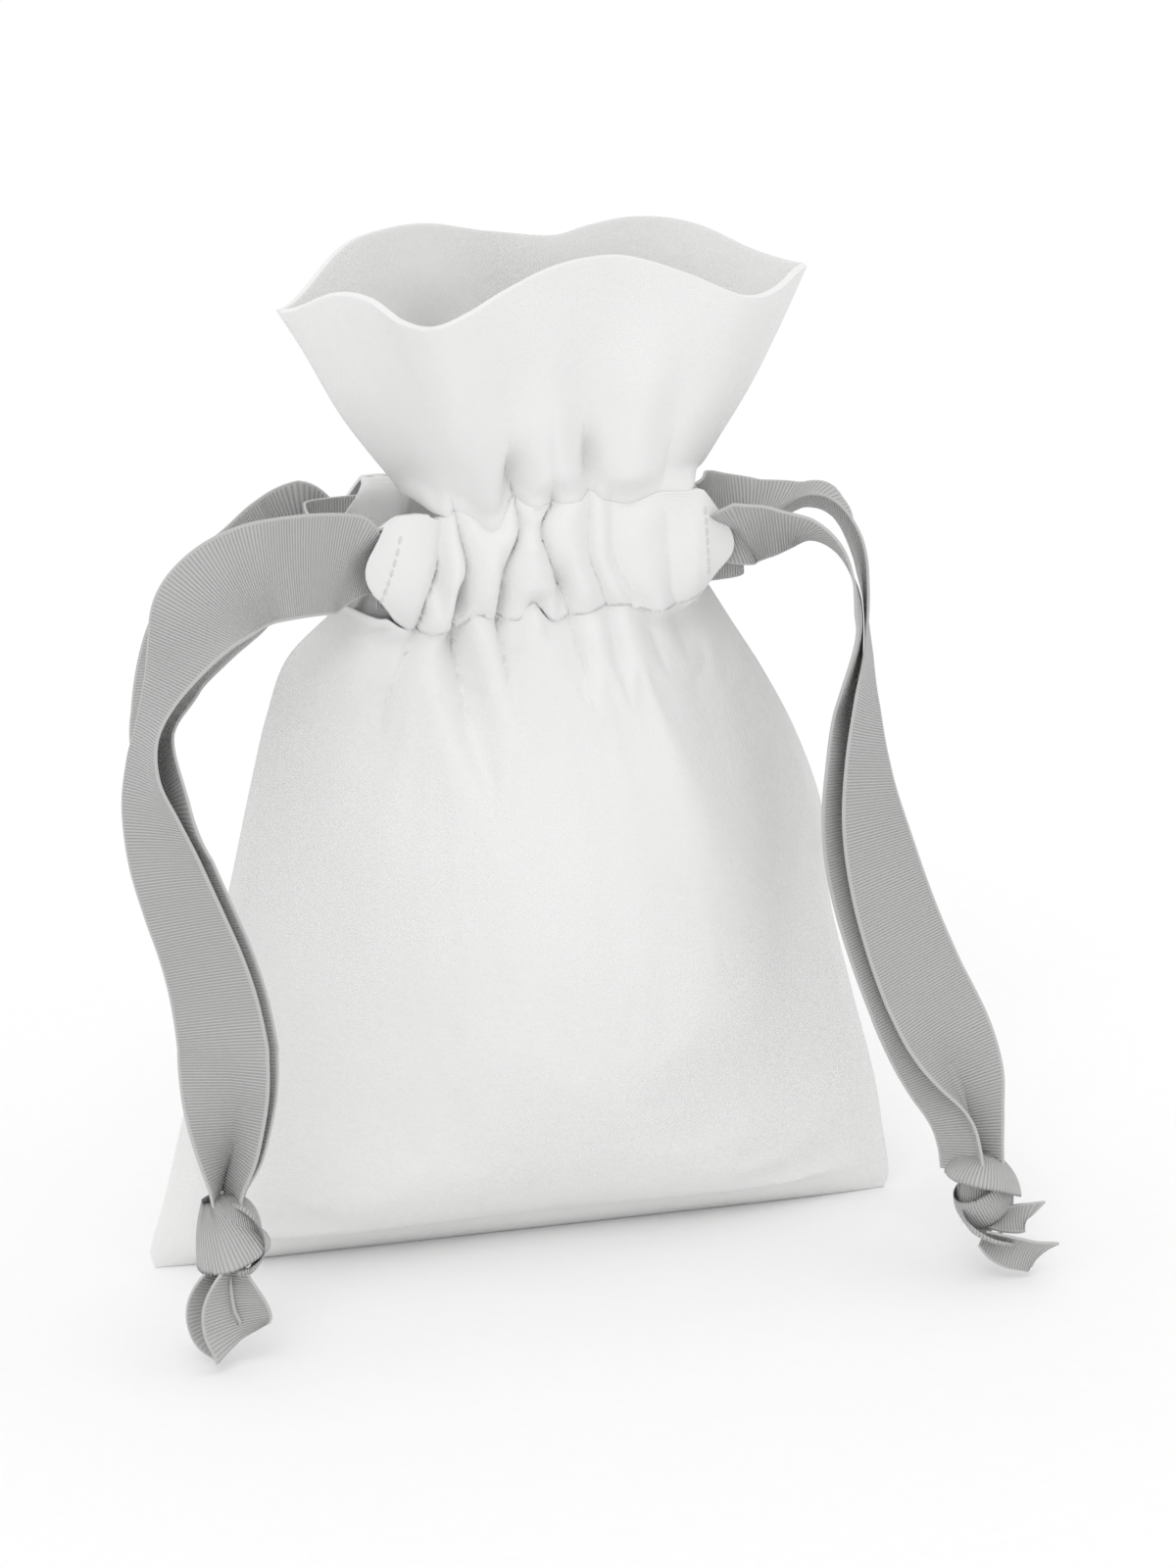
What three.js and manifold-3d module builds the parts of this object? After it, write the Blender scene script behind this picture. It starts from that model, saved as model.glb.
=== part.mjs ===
// A drawstring gift pouch of white cotton, with two grosgrain ribbons that run through one gathered casing.
// Millimetres, +Z up. The pouch stands on its bottom seam, its front faces -Y, and the origin is the middle
// of that seam on the surface it stands on.

import * as THREE from 'three';
import { mergeVertices } from 'three/addons/utils/BufferGeometryUtils.js';
import Module from 'manifold-3d';

const wasm = await Module();
wasm.setup();

// ---------------------------------------------------------------- driving dimensions

const CLOTH = 1.2; // wall of every cloth part, two or more layers of cotton
const SEAM_GAP = 0.3; // between two parts that are sewn together or that slide on each other
const HALF_GAP = SEAM_GAP / 2;

const BODY_TOP = 119.5; // height of the casing's lower row of stitches
const CASING_HEIGHT = 20.7;
const CASING_BOTTOM = BODY_TOP + SEAM_GAP;
const CASING_TOP = CASING_BOTTOM + CASING_HEIGHT;
const CASING_HALF_LENGTH = 33;
const CASING_INNER_Y = 7; // face of the casing that looks into the neck
const CASING_OUTER_Y = 14;
const CASING_WALL = 1;
const MOUTH_CUT_X = 24; // past this the casing's inner layer is cut back, where the ribbons come out

const HEADING_BOTTOM = CASING_TOP + SEAM_GAP;
const HEADING_HEIGHT = 38.5;
const HEADING_NECK_HALF_WIDTH = 28;
const HEADING_RIM_HALF_WIDTH = 48;
const HEADING_NECK_DEPTH = 11;
const HEADING_RIM_DEPTH = 20;

const RIBBON_WIDTH = 18;
const RIBBON_THICKNESS = 0.6;
const PLY_GAP = 2.2; // between the middles of two ribbon plies that lie together
const FOLDED_WIDTH = 7.2; // a ribbon is folded lengthwise inside the casing
const LEVEL_OFFSET = 4.2; // of each folded ribbon from the middle of the casing, one above the other
const RIBBON_Y = 10.5; // where a ribbon lies inside the casing
const RIBBON_TURN_X = 33; // where a ribbon starts to turn round the far side seam
const RIBBON_TURN_REACH = 7;
const SWING_GAP = 1.6; // gap in a ribbon where its hanging end swings

const THREAD = 0.6;

const MIDDLE_OF_CASING = (CASING_BOTTOM + CASING_TOP) / 2;

// Height above the bottom seam, half width at the side seams, half depth inside the cloth.
const BODY_OUTLINE = [
  [0, 70, 6],
  [20, 66, 19],
  [41, 61.5, 27],
  [60, 58, 30],
  [75, 55.5, 28.5],
  [90, 50.5, 24.5],
  [102, 45.5, 19.5],
  [112, 40, 14.5],
  [BODY_TOP, 34.5, 11.5],
];

// ---------------------------------------------------------------- materials

const cotton = () => new THREE.MeshStandardMaterial({ color: 0xf1f1f0, roughness: 0.92, metalness: 0 });
const grosgrain = () => new THREE.MeshStandardMaterial({ color: 0xb9b9b8, roughness: 0.62, metalness: 0 });
const thread = () => new THREE.MeshStandardMaterial({ color: 0xe4e4e2, roughness: 0.8, metalness: 0 });

// ---------------------------------------------------------------- shape helpers

// A smooth value between the rows of a list that is sorted by its first column.
function smoothBetween(rows, column, at) {
  const last = rows.length - 1;
  let i = rows.findIndex((row) => at < row[0]) - 1;
  if (i === -2) i = last - 1;
  i = Math.max(0, Math.min(last - 1, i));
  const slope = (k) => {
    const a = rows[Math.max(0, k - 1)];
    const b = rows[Math.min(last, k + 1)];
    return (b[column] - a[column]) / (b[0] - a[0]);
  };
  const span = rows[i + 1][0] - rows[i][0];
  const t = (at - rows[i][0]) / span;
  const h = t * t * (3 - 2 * t);
  const start = slope(i) * span * t * (1 - t) * (1 - t);
  const end = slope(i + 1) * span * t * t * (t - 1);
  return rows[i][column] * (1 - h) + rows[i + 1][column] * h + start + end;
}

// A box of divided faces whose points are carried to new places: u, v and w each run from 0 to 1.
function bentBox(across, up, through, place) {
  const box = new THREE.BoxGeometry(1, 1, 1, across, up, through);
  const position = box.attributes.position;
  for (let i = 0; i < position.count; i += 1) {
    const [u, v, w] = [position.getX(i) + 0.5, position.getY(i) + 0.5, position.getZ(i) + 0.5];
    position.setXYZ(i, ...place(u, v, w));
  }
  return facingOut(box);
}

// The same solid with its shared points merged and its faces turned outwards.
function facingOut(geometry) {
  const plain = geometry.clone();
  plain.deleteAttribute('normal');
  plain.deleteAttribute('uv');
  const merged = mergeVertices(plain, 1e-4);
  const index = merged.index.array;
  const [a, b, c] = [new THREE.Vector3(), new THREE.Vector3(), new THREE.Vector3()];
  let volume = 0;
  for (let i = 0; i < index.length; i += 3) {
    a.fromBufferAttribute(merged.attributes.position, index[i]);
    b.fromBufferAttribute(merged.attributes.position, index[i + 1]);
    c.fromBufferAttribute(merged.attributes.position, index[i + 2]);
    volume += a.dot(b.cross(c));
  }
  if (volume < 0) {
    for (let i = 0; i < index.length; i += 3) [index[i], index[i + 1]] = [index[i + 1], index[i]];
  }
  merged.computeVertexNormals();
  return merged;
}

function solid(geometry) {
  const merged = facingOut(geometry);
  const vertProperties = Float32Array.from(merged.attributes.position.array);
  const triVerts = Uint32Array.from(merged.index.array);
  return new wasm.Manifold(new wasm.Mesh({ numProp: 3, vertProperties, triVerts }));
}

function geometryOf(manifold) {
  const mesh = manifold.getMesh();
  const geometry = new THREE.BufferGeometry();
  geometry.setAttribute('position', new THREE.BufferAttribute(Float32Array.from(mesh.vertProperties), 3));
  geometry.setIndex(new THREE.BufferAttribute(Uint32Array.from(mesh.triVerts), 1));
  return facingOut(geometry);
}

// The point behind the middle plane that matches one in front of it, when side is 1 instead of -1.
const onSide = (side, x, y, z) => [x, side * y, z];

// ---------------------------------------------------------------- cloth

// How far the lens-shaped section stands out at u, from -1 at one side seam to 1 at the other.
// It is boxy at the bottom seam and a plain lens higher up.
function lens(u, z) {
  const boxiness = 2 + 4 * Math.max(0, 1 - z / 40) ** 2;
  return 1 - Math.abs(u) ** boxiness;
}

function panel(side) {
  const [across, up] = [16, 11];
  const outer = bentBox(across, up, 1, (u, v, w) => {
    const s = 2 * u - 1;
    const z = v * BODY_TOP;
    const depth = CLOTH + smoothBetween(BODY_OUTLINE, 2, z) * lens(s, z);
    return onSide(side, smoothBetween(BODY_OUTLINE, 1, z) * s, HALF_GAP + depth * w, z);
  });
  const inner = bentBox(across, up, 1, (u, v, w) => {
    const s = 2 * u - 1;
    const z = CLOTH + v * BODY_TOP;
    const depth = smoothBetween(BODY_OUTLINE, 2, Math.min(z, BODY_TOP)) * lens(s, z);
    const y = w === 0 ? -CLOTH : HALF_GAP + depth;
    return onSide(side, (smoothBetween(BODY_OUTLINE, 1, Math.min(z, BODY_TOP)) - CLOTH) * s, y, z);
  });
  return geometryOf(solid(outer).subtract(solid(inner)));
}

// A flat tunnel that lies along X, open at both ends, with its inner layer cut back at the mouths.
function casing(side) {
  const depth = CASING_OUTER_Y - CASING_INNER_Y;
  const [h, d, r] = [CASING_HEIGHT / 2, depth / 2, 2.4];
  const outline = (halfHeight, halfDepth, radius, path) => {
    path.moveTo(halfHeight - radius, -halfDepth);
    path.absarc(halfHeight - radius, -halfDepth + radius, radius, -Math.PI / 2, 0);
    path.absarc(halfHeight - radius, halfDepth - radius, radius, 0, Math.PI / 2);
    path.absarc(-halfHeight + radius, halfDepth - radius, radius, Math.PI / 2, Math.PI);
    path.absarc(-halfHeight + radius, -halfDepth + radius, radius, Math.PI, 1.5 * Math.PI);
    return path;
  };
  const section = outline(h, d, r, new THREE.Shape());
  section.holes.push(outline(h - CASING_WALL, d - CASING_WALL, r - CASING_WALL, new THREE.Path()));
  const tube = new THREE.ExtrudeGeometry(section, {
    depth: 2 * CASING_HALF_LENGTH,
    bevelEnabled: false,
    curveSegments: 4,
  });
  tube.rotateY(-Math.PI / 2);
  tube.translate(CASING_HALF_LENGTH, (side * (CASING_INNER_Y + CASING_OUTER_Y)) / 2, MIDDLE_OF_CASING);
  let body = solid(tube);
  const cutLength = CASING_HALF_LENGTH - MOUTH_CUT_X + 1;
  for (const end of [-1, 1]) {
    const cut = new THREE.BoxGeometry(cutLength, 4, CASING_HEIGHT - 2 * r);
    const x = end * (MOUTH_CUT_X + cutLength / 2);
    cut.translate(x, side * (CASING_INNER_Y + CASING_WALL - 2 + 0.2), MIDDLE_OF_CASING);
    body = body.subtract(solid(cut));
  }
  return geometryOf(body);
}

// The frill above the casing: a double layer that flares to a wavy rim.
function heading(side) {
  return bentBox(28, 9, 1, (u, v, w) => {
    const s = 2 * u - 1;
    const flare = v ** 0.9;
    const halfWidth = HEADING_NECK_HALF_WIDTH + (HEADING_RIM_HALF_WIDTH - HEADING_NECK_HALF_WIDTH) * flare;
    const x = halfWidth * s;
    const wave = Math.cos((Math.PI * (x - 4)) / 28);
    const reach = HEADING_NECK_DEPTH + (HEADING_RIM_DEPTH - HEADING_NECK_DEPTH) * flare;
    const y = HALF_GAP + reach * (1 - s * s) * (1 - 0.22 * v * wave) + w * 1.6;
    const z = HEADING_BOTTOM + v * (HEADING_HEIGHT + 4 * wave * v * (1 - s ** 4));
    return onSide(side, x, y, z);
  });
}

// ---------------------------------------------------------------- ribbons

const FRONT = new THREE.Vector3(0, -1, 0);

// Each station of a route is x, y, z and a turn in degrees: at 0 the ribbon shows its flat face to the front,
// at 90 it shows its edge.
function stationsOf(route, steps) {
  const middle = new THREE.CatmullRomCurve3(
    route.map(([x, y, z]) => new THREE.Vector3(x, y, z)), false, 'centripetal');
  return Array.from({ length: steps + 1 }, (_, i) => {
    const t = i / steps;
    const along = middle.getTangent(t).normalize();
    const place = t * (route.length - 1);
    const before = Math.min(Math.floor(place), route.length - 2);
    const turn = THREE.MathUtils.degToRad(
      THREE.MathUtils.lerp(route[before][3], route[before + 1][3], place - before));
    const side = along.clone().cross(FRONT).normalize();
    const width = side.clone().applyAxisAngle(along, turn);
    return { middle: middle.getPoint(t), along, width, face: along.clone().cross(width) };
  });
}

// A flat strip along its stations: a thin section of eight sides with softened edges.
function strip(stations, breadth) {
  const [half, thin, edge] = [breadth / 2, RIBBON_THICKNESS / 2, 0.3];
  const section = [
    [-half, -thin / 2], [-half + edge, -thin], [half - edge, -thin], [half, -thin / 2],
    [half, thin / 2], [half - edge, thin], [-half + edge, thin], [-half, thin / 2],
  ];
  const positions = [];
  const triangles = [];
  const sides = section.length;
  stations.forEach(({ middle, width, face }) => {
    section.forEach(([a, b]) => {
      positions.push(...middle.clone().addScaledVector(width, a).addScaledVector(face, b).toArray());
    });
  });
  for (let i = 0; i < stations.length - 1; i += 1) {
    for (let k = 0; k < sides; k += 1) {
      const [a, b] = [i * sides + k, i * sides + ((k + 1) % sides)];
      // Both flat faces are split along the same diagonal, so a twisted strip keeps its thickness.
      if (k < sides / 2) triangles.push(a, b, a + sides, b, b + sides, a + sides);
      else triangles.push(a, b, b + sides, a, b + sides, a + sides);
    }
  }
  const end = (stations.length - 1) * sides;
  for (let k = 1; k < sides - 1; k += 1) {
    triangles.push(0, k + 1, k, end, end + k, end + k + 1);
  }
  const geometry = new THREE.BufferGeometry();
  geometry.setAttribute('position', new THREE.Float32BufferAttribute(positions, 3));
  geometry.setIndex(triangles);
  return facingOut(geometry);
}

// The other ply of a ribbon: its own free stretch, then beside the first ply from the given station on.
function besidePly(free, route, from, shift) {
  const together = route.slice(from).map((station, i, rest) => {
    const place = new THREE.Vector3(...station.slice(0, 3));
    const before = new THREE.Vector3(...(route[from + i - 1] ?? station).slice(0, 3));
    const after = new THREE.Vector3(...(route[from + i + 1] ?? station).slice(0, 3));
    const along = after.sub(before).normalize();
    const width = along.clone().cross(FRONT).normalize();
    width.applyAxisAngle(along, THREE.MathUtils.degToRad(station[3]));
    const face = along.clone().cross(width);
    place.addScaledVector(face, PLY_GAP * shift.face).addScaledVector(width, shift.width);
    return [...place.toArray(), station[3]];
  });
  return [...free, ...together];
}

// The left ribbon's front ply, from the front mouth down to its knot.
const LEFT_FRONT_ROUTE = [
  [-36.2, -14, 131, 0],
  [-41, -17, 133, 4],
  [-48, -20, 134.5, 6],
  [-55, -23, 134.5, 10],
  [-61, -25.5, 132.5, 22],
  [-66.5, -27.5, 128, 38],
  [-71, -29, 121, 58],
  [-74.5, -30.5, 112, 74],
  [-76.2, -32, 103, 66],
  [-75.6, -33, 94.5, 52],
  [-73.5, -34, 86.5, 38],
  [-70.8, -35.5, 78.5, 24],
  [-68.3, -37, 70, 12],
  [-66.4, -39, 61, 6],
  [-65.4, -41, 52, 6],
  [-65.1, -42.4, 44, 22],
  [-65.2, -43.4, 37, 46],
  [-65.4, -44, 31, 62],
];
const LEFT_BACK_FREE = [
  [-36.2, 13.6, 131, 0],
  [-44, 12, 132, 4],
  [-52, 8, 132, 14],
  [-59, 1, 130, 28],
  [-65, -7.5, 125, 46],
  [-69, -15, 118.5, 62],
  [-71.6, -22, 111, 72],
  [-73.2, -28, 102.5, 66],
];

// The right ribbon's back ply, which comes over the top and lies outermost.
const RIGHT_BACK_ROUTE = [
  [36.4, 13.6, 131, 0],
  [41.4, 13.4, 131.3, -6],
  [46.6, 10.6, 134.2, -42],
  [51.6, 5, 135.6, -76],
  [55.6, -1, 133, -84],
  [58, -6, 127, -82],
  [58.8, -11, 119, -78],
  [58.3, -15.5, 110, -74],
  [57.2, -19.5, 101, -66],
  [56.2, -23.2, 91, -56],
  [56.2, -26.6, 81.5, -40],
  [57.6, -29.8, 71.5, -26],
  [60.2, -32.5, 61.5, -14],
  [63.8, -35.2, 51, -6],
  [67.4, -37.8, 42, -8],
  [70.2, -40.2, 35, -30],
  [71.6, -42.4, 29, -56],
  [72, -43.6, 25, -68],
];
const RIGHT_FRONT_FREE = [
  [36.2, -14, 131, 0],
  [41, -16, 130.8, -12],
  [46, -17.6, 130, -38],
  [50.8, -18.4, 127, -64],
  [54.4, -18.4, 120.5, -78],
];
const LEFT_PLY_SHIFT = { face: 1, width: -1.6 };
const RIGHT_PLY_SHIFT = { face: 1, width: 1.8 };

const LEFT_BACK_ROUTE = besidePly(LEFT_BACK_FREE, LEFT_FRONT_ROUTE, 9, LEFT_PLY_SHIFT);
const RIGHT_FRONT_ROUTE = besidePly(RIGHT_FRONT_FREE, RIGHT_BACK_ROUTE, 7, RIGHT_PLY_SHIFT);

// Height at which each hanging end swings.
const LEFT_SWING_HEIGHT = 112;
const RIGHT_SWING_HEIGHT = 115;

// A ply as two strips, above and below the height where its hanging end swings.
function ply(route, swingHeight) {
  const stations = stationsOf(route, 34);
  const turned = stations.findIndex(({ middle }, i) => i > 8 && middle.z < swingHeight);
  const spread = (station, away) => ({ ...station, middle: station.middle.clone().setZ(swingHeight + away) });
  const above = stations.slice(0, turned).filter(({ middle }, i) => i < 9 || middle.z > swingHeight + 1.5);
  const below = stations.slice(turned).filter(({ middle }) => middle.z < swingHeight - 1.5);
  return {
    upper: strip([...above, spread(stations[turned - 1], SWING_GAP / 2)], RIBBON_WIDTH),
    lower: strip([spread(stations[turned], -SWING_GAP / 2), ...below], RIBBON_WIDTH),
  };
}

// A ribbon inside the casing: in at one mouth, round the far side seam, and out again behind.
function ribbonInCasing(end, z) {
  const [start, turnX] = [-35.6, RIBBON_TURN_X];
  const turnSteps = 10;
  const half = [[start, -RIBBON_Y - 1.2], [start + 8, -RIBBON_Y], [0, -RIBBON_Y], [turnX, -RIBBON_Y]];
  const turn = Array.from({ length: turnSteps - 1 }, (_, i) => {
    const angle = (Math.PI * (i + 1)) / turnSteps;
    return [turnX + RIBBON_TURN_REACH * Math.sin(angle), -RIBBON_Y * Math.cos(angle)];
  });
  const outline = [...half, ...turn, ...half.map(([x, y]) => [x, -y]).reverse()];
  const stations = outline.map(([x, y], i) => {
    const [x0, y0] = outline[Math.max(0, i - 1)];
    const [x1, y1] = outline[Math.min(outline.length - 1, i + 1)];
    const along = new THREE.Vector3(-end * (x1 - x0), y1 - y0, 0).normalize();
    const width = new THREE.Vector3(0, 0, 1);
    return { middle: new THREE.Vector3(-end * x, y, z), along, width, face: along.clone().cross(width) };
  });
  return strip(stations, FOLDED_WIDTH);
}

// An overhand knot, as one rounded solid.
function knot([x, y, z], [width, depth, height]) {
  const ball = new THREE.SphereGeometry(0.5, 12, 8);
  ball.scale(width, depth, height);
  ball.translate(x, y, z);
  return facingOut(ball);
}

// A cut end below its knot.
function tail(route, breadth) {
  return strip(stationsOf(route, 5), breadth);
}

// ---------------------------------------------------------------- threads

function threadAlong(points) {
  const curve = new THREE.CatmullRomCurve3(points.map((p) => new THREE.Vector3(...p)), false, 'centripetal');
  const round = new THREE.Shape().absarc(0, 0, THREAD / 2, 0, 2 * Math.PI);
  return new THREE.ExtrudeGeometry(round, {
    steps: 3 * (points.length - 1), curveSegments: 3, bevelEnabled: false, extrudePath: curve,
  });
}

function sideSeamThread(end) {
  const inset = CLOTH + THREAD;
  const points = [2.5, 30, 60, 90, 105, BODY_TOP - 1].map(
    (z) => [end * (smoothBetween(BODY_OUTLINE, 1, z) - inset - 0.3), 0, z]);
  return threadAlong(points);
}

const bottomSeamThread = () => threadAlong([[-66, 0, CLOTH + THREAD], [66, 0, CLOTH + THREAD]]);

const THREAD_Y = CASING_OUTER_Y + SEAM_GAP + THREAD / 2;

const casingRowThread = (side, z) => threadAlong([[-24, side * THREAD_Y, z], [24, side * THREAD_Y, z]]);

function mouthThread(side, end) {
  const x = end * (CASING_HALF_LENGTH - 2.5);
  return threadAlong([[x, side * THREAD_Y, CASING_BOTTOM + 2.6], [x, side * THREAD_Y, CASING_TOP - 2.6]]);
}

// ---------------------------------------------------------------- the pouch

const pouch = new THREE.Group();

function add(name, geometry, material) {
  const mesh = new THREE.Mesh(geometry, material);
  mesh.name = name;
  pouch.add(mesh);
}

const SIDES = [['front', -1], ['back', 1]];
const ENDS = [['left', -1], ['right', 1]];

for (const [name, side] of SIDES) {
  add(`${name}_panel`, panel(side), cotton());
  add(`${name}_casing`, casing(side), cotton());
  add(`${name}_heading`, heading(side), cotton());
  add(`${name}_casing_upper_stitching`, casingRowThread(side, CASING_TOP - 2.6), thread());
  add(`${name}_casing_lower_stitching`, casingRowThread(side, CASING_BOTTOM + 2.6), thread());
  for (const [endName, end] of ENDS) {
    add(`${name}_${endName}_mouth_stitching`, mouthThread(side, end), thread());
  }
}
for (const [name, end] of ENDS) {
  add(`${name}_side_seam_stitching`, sideSeamThread(end), thread());
}
add('bottom_seam_stitching', bottomSeamThread(), thread());

add('left_ribbon_in_casing', ribbonInCasing(-1, MIDDLE_OF_CASING - LEVEL_OFFSET), grosgrain());
add('right_ribbon_in_casing', ribbonInCasing(1, MIDDLE_OF_CASING + LEVEL_OFFSET), grosgrain());

const PLIES = [
  ['left_front_ribbon', LEFT_FRONT_ROUTE, LEFT_SWING_HEIGHT],
  ['left_back_ribbon', LEFT_BACK_ROUTE, LEFT_SWING_HEIGHT],
  ['right_front_ribbon', RIGHT_FRONT_ROUTE, RIGHT_SWING_HEIGHT],
  ['right_back_ribbon', RIGHT_BACK_ROUTE, RIGHT_SWING_HEIGHT],
];
for (const [name, route, swingHeight] of PLIES) {
  const { upper, lower } = ply(route, swingHeight);
  add(`${name}_upper`, upper, grosgrain());
  add(`${name}_lower`, lower, grosgrain());
}

add('left_knot', knot([-65.6, -44.5, 22.6], [13, 10, 15.4]), grosgrain());
add('left_front_tail', tail([
  [-66, -47.6, 14.2, 10], [-67, -49, 10, 8], [-68, -50, 5.5, 4], [-68.4, -50.4, 1.2, 0]], 13), grosgrain());
add('left_back_tail', tail([
  [-66, -43.6, 14.2, 20], [-66.6, -44.4, 10, 16], [-67, -45, 5.5, 12], [-67.2, -45.4, 1.2, 10]], 13), grosgrain());

add('right_knot', knot([72.4, -44.5, 17], [13.5, 10, 14.4]), grosgrain());
add('right_front_tail', tail([
  [74, -47.4, 9.4, 10], [76, -48.6, 6.6, 8], [78.2, -49.4, 3.8, 4], [80, -50, 1.4, 0]], 11), grosgrain());
add('right_back_tail', tail([
  [74, -43, 9.4, 20], [75.6, -43.6, 7, 16], [77.4, -44.2, 4.4, 12], [79, -44.6, 2, 10]], 11), grosgrain());

export default pouch;
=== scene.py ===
"""A drawstring gift pouch of white cotton that stands on its bottom seam, with two grosgrain ribbons.

Metres in the shared frame, +Z up, front towards -Y. Shapes are worked out in millimetres and scaled by MM.
"""

import math

import bmesh
import bpy
from mathutils import Matrix, Vector, noise


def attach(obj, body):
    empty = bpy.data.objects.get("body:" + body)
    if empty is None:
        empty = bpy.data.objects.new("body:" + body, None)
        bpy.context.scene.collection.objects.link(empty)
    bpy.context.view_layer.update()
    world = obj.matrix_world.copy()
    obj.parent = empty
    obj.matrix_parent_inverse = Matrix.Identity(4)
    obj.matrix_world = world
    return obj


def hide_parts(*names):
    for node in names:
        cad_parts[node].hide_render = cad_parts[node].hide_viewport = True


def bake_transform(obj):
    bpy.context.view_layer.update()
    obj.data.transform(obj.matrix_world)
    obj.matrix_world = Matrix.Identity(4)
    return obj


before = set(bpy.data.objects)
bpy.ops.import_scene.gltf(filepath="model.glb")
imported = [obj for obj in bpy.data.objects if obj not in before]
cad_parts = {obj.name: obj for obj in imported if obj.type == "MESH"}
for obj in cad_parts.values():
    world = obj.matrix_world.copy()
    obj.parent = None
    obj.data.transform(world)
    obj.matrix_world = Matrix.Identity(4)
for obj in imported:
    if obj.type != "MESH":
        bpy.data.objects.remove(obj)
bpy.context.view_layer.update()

MM = 0.001
FRONT, BACK = -1, 1
SIDES = (("front", FRONT), ("back", BACK))

# ---------------------------------------------------------------- sizes in millimetres

COTTON = 0.6  # one layer
HEM = 1.2  # the double layer of the frill
RIBBON = 0.5
WRAP = 0.7  # one turn of a knot
RIBBON_WIDTH = 18.0
RIB_PITCH = 0.52
SELVEDGE = 0.35
WEAVE_PITCH = 0.46
PLY_GAP = 2.2  # between the middles of two plies that lie together

BODY_TOP = 119.5
CASING_LOW = 119.4
CASING_HIGH = 140.2
CASING_ENDS = (-33.0, 34.6)
MIDDLE_X = 1.6  # of the neck, which leans a little to the right

# Flat size of each body panel, which its weave is laid out over. The casing's own cut would be about 140 x
# 41.6 and the frill's
# 140 x 44. Both are declared smaller than that, because the gathers here hold too little cloth for the true
# cuts.
PANEL_FLAT = (140, 136)
# What the weave is laid out over, across and along each piece.
CASING_WEAVE = (120, 20)
FRILL_WEAVE = (140, 44)

# Height, left edge, right edge, half depth inside the cloth.
BODY_OUTLINE = (
    (0.0, -69.0, 69.0, 0.9),
    (3.0, -69.9, 69.9, 4.6),
    (12.0, -67.4, 68.6, 12.5),
    (22.0, -64.9, 66.9, 18.5),
    (41.0, -60.5, 61.9, 26.0),
    (58.0, -57.0, 57.8, 29.6),
    (75.0, -53.2, 56.2, 28.4),
    (90.0, -49.9, 51.0, 24.4),
    (102.0, -46.9, 44.8, 19.4),
    (112.0, -43.0, 38.6, 15.4),
    (BODY_TOP, -35.0, 34.0, 13.0),
)
BODY_HEIGHTS, BODY_LEFT, BODY_RIGHT, BODY_DEPTH = zip(*BODY_OUTLINE)

# Where the cloth dips between two gathers: x at 141, 136, 130, 124 and 119.5 up, x at 105 and 85, and depth.
VALLEYS = (
    (-18.0, -18.8, -19.7, -21.6, -23.0, -29.0, -33.0, 1.0),
    (-16.2, -15.6, -14.6, -15.6, -16.8, -15.2, -14.0, 1.0),
    (-5.4, -4.9, -7.2, -8.0, -8.7, -7.0, -4.0, 1.0),
    (2.0, -0.9, 0.7, 3.2, 4.6, 7.0, 10.0, 0.85),
    (8.6, 8.1, 8.1, 10.2, 11.6, 14.0, 18.0, 0.55),
    (12.4, 12.4, 12.6, 15.2, 18.4, 23.0, 28.0, 0.3),
    (20.6, 22.2, 22.8, 23.2, 24.0, 29.0, 34.0, 0.35),
)
VALLEY_HEIGHTS = (141.0, 136.0, 130.0, 124.0, BODY_TOP, 105.0, 85.0)

# Where a row of stitches pinches the middle of a ridge: x, width, depth, height where it starts, reach.
UPPER_NOTCHES = ((-10.4, 2.1, 3.6, 134.6, 4.0), (-1.6, 1.3, 2.0, 137.6, 2.0), (15.6, 1.8, 1.6, 136.0, 3.5))
LOWER_NOTCHES = ((-12.9, 1.6, 3.0, 122.6, 2.6), (-2.1, 2.3, 3.2, 126.0, 3.4), (15.0, 2.2, 1.0, 122.5, 3.0))
# Deep places between two folds of the casing: x, width, height up, reach up and down, depth.
CASING_POCKETS = (
    (-19.7, 1.1, 127.0, 5.0, 2.6),
    (-15.6, 1.3, 124.0, 4.0, 3.0),
    (-8.4, 0.9, 125.0, 7.0, 1.8),
    (2.6, 1.3, 125.0, 6.0, 1.8),
)
# How the two rows of stitches rise and dip: x, width, rise.
LOWER_ROW_ARCHES = ((-12.9, 1.9, 1.6), (-2.1, 2.1, 3.6), (15.0, 2.6, 1.0))
UPPER_ROW_ARCHES = (
    (-10.4, 3.0, -3.4), (14.8, 4.0, -1.4), (-5.8, 1.6, 1.8), (8.6, 1.4, 1.4), (-19.0, 2.0, -1.6),
)
# Long soft folds of the body below the casing: heights, x at each, width, how far the fold stands out,
# and the height where it fades out with its reach above that.
BODY_FOLDS = (
    ((120, 112, 100, 82), (-17.6, -16.4, -14.3, -11.5), 3.2, -2.9, 78, 26),
    ((120, 104, 87), (-27.5, -23.2, -17.0), 4.6, 1.8, 80, 20),
    ((119, 98, 70), (13.5, 22.5, 31.0), 5.5, 1.3, 62, 34),
    ((119, 98, 70), (21.0, 31.0, 38.0), 5.0, -0.9, 66, 30),
)

# The frill's own valleys: x at 141, 155 and 172 up.
FRILL_VALLEYS = (
    (-20.5, -26.0, -33.0),
    (-5.6, -7.2, -8.5),
    (8.6, 7.8, 9.0),
    (21.8, 25.0, 31.0),
)
FRILL_HEIGHTS = (141.0, 155.0, 172.0)
FRILL_POCKETS = ((-5.8, 2.4, 3.6), (8.6, 1.8, 3.2), (-20.0, 4.0, 2.4))  # x, width, depth

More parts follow.
